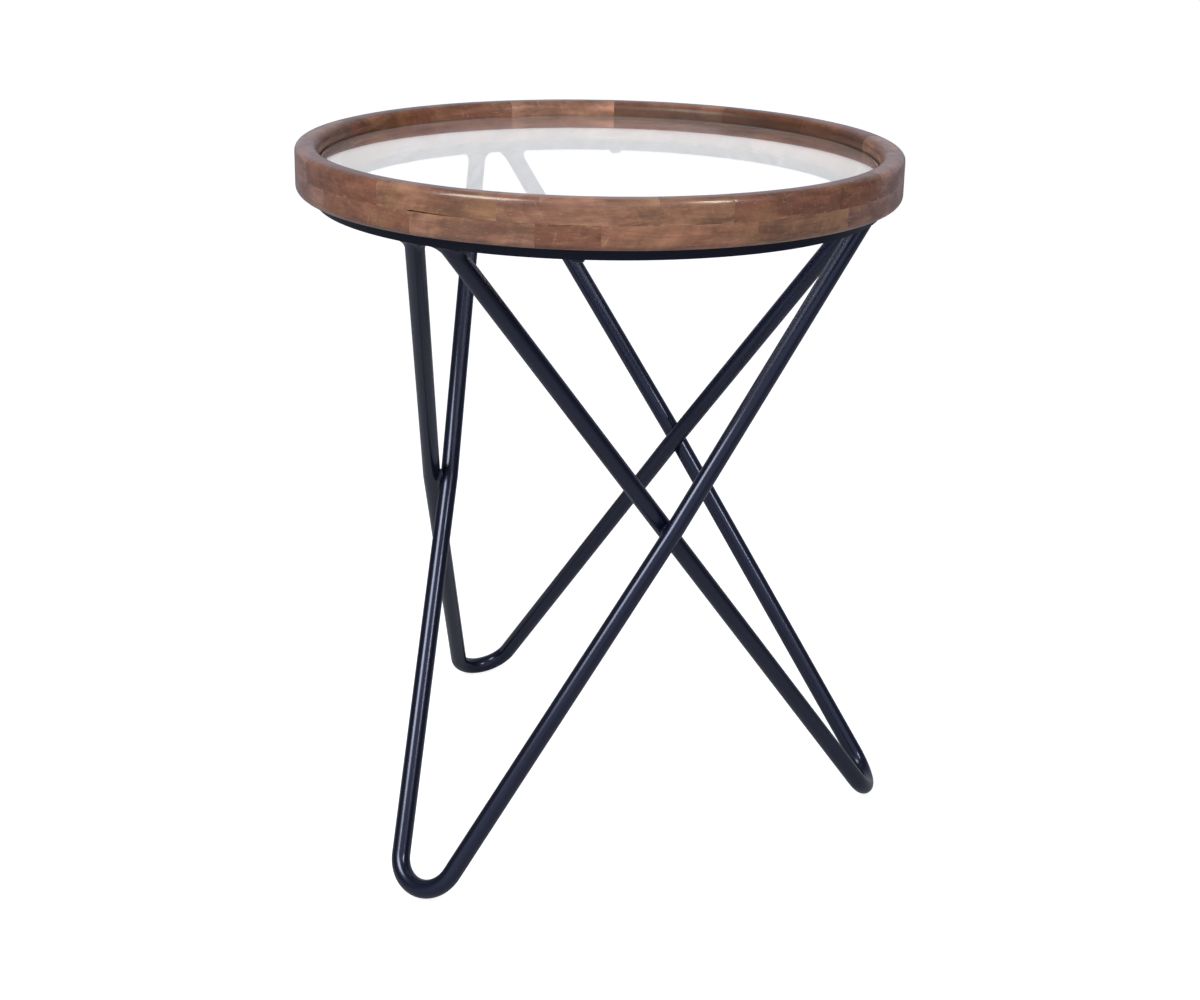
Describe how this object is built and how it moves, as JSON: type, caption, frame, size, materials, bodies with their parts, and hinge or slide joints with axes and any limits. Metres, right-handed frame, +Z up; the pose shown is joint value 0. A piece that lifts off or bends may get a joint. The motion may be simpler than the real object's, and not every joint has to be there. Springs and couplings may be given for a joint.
{
  "type": "round side table",
  "caption": "Round side table: a rim of glued hardwood blocks holds a lift-out clear glass disc over a black steel hoop on crossing bent-rod hairpin legs.",
  "frame": {"origin": "on the floor, under the middle of the round top", "axes": "+Z up along the middle axis of the top, +X through the right foot, +Y towards the back as the picture sees it"},
  "size_m": [0.5039, 0.495, 0.577],
  "materials": {
    "wood_umber": "satin lacquer over stained hardwood",
    "wood_tan": "satin lacquer over stained hardwood",
    "wood_russet": "satin lacquer over stained hardwood",
    "wood_grey": "satin lacquer over stained hardwood",
    "wood_dark": "satin lacquer over stained hardwood",
    "wood_honey": "satin lacquer over stained hardwood",
    "clear_glass": "polished clear float glass",
    "black_steel": "satin black powder coat",
    "black_screw": "black, slightly glossier than the frame"
  },
  "bodies": {
    "frame": {"rim_upper_01": "wood_honey", "rim_upper_02": "wood_umber", "rim_upper_03": "wood_dark", "rim_upper_04": "wood_grey", "rim_upper_05": "wood_tan", "rim_upper_06": "wood_umber", "rim_upper_07": "wood_dark", "rim_upper_08": "wood_russet", "rim_upper_09": "wood_tan", "rim_upper_10": "wood_umber", "rim_upper_11": "wood_dark", "rim_upper_12": "wood_honey", "rim_upper_13": "wood_grey", "rim_upper_14": "wood_umber", "rim_upper_15": "wood_honey", "rim_upper_16": "wood_tan", "rim_lower_01": "wood_tan", "rim_lower_02": "wood_umber", "rim_lower_03": "wood_russet", "rim_lower_04": "wood_honey", "rim_lower_05": "wood_grey", "rim_lower_06": "wood_umber", "rim_lower_07": "wood_honey", "rim_lower_08": "wood_russet", "rim_lower_09": "wood_dark", "rim_lower_10": "wood_tan", "rim_lower_11": "wood_umber", "rim_lower_12": "wood_grey", "rim_lower_13": "wood_tan", "rim_lower_14": "wood_dark", "rim_lower_15": "wood_grey", "rim_lower_16": "wood_umber", "top_hoop": "black_steel", "leg_right": "black_steel", "leg_back_left": "black_steel", "leg_front_left": "black_steel", "hoop_welds": "black_steel", "crossing_welds": "black_steel", "rim_screws": "black_screw"},
    "glass": {"glass_top": "clear_glass"}
  },
  "joints": [
    {"name": "glass_lift", "type": "slide", "parent": "frame", "child": "glass", "axis": [0, 0, 1], "range_m": [0, 0.1]}
  ]
}
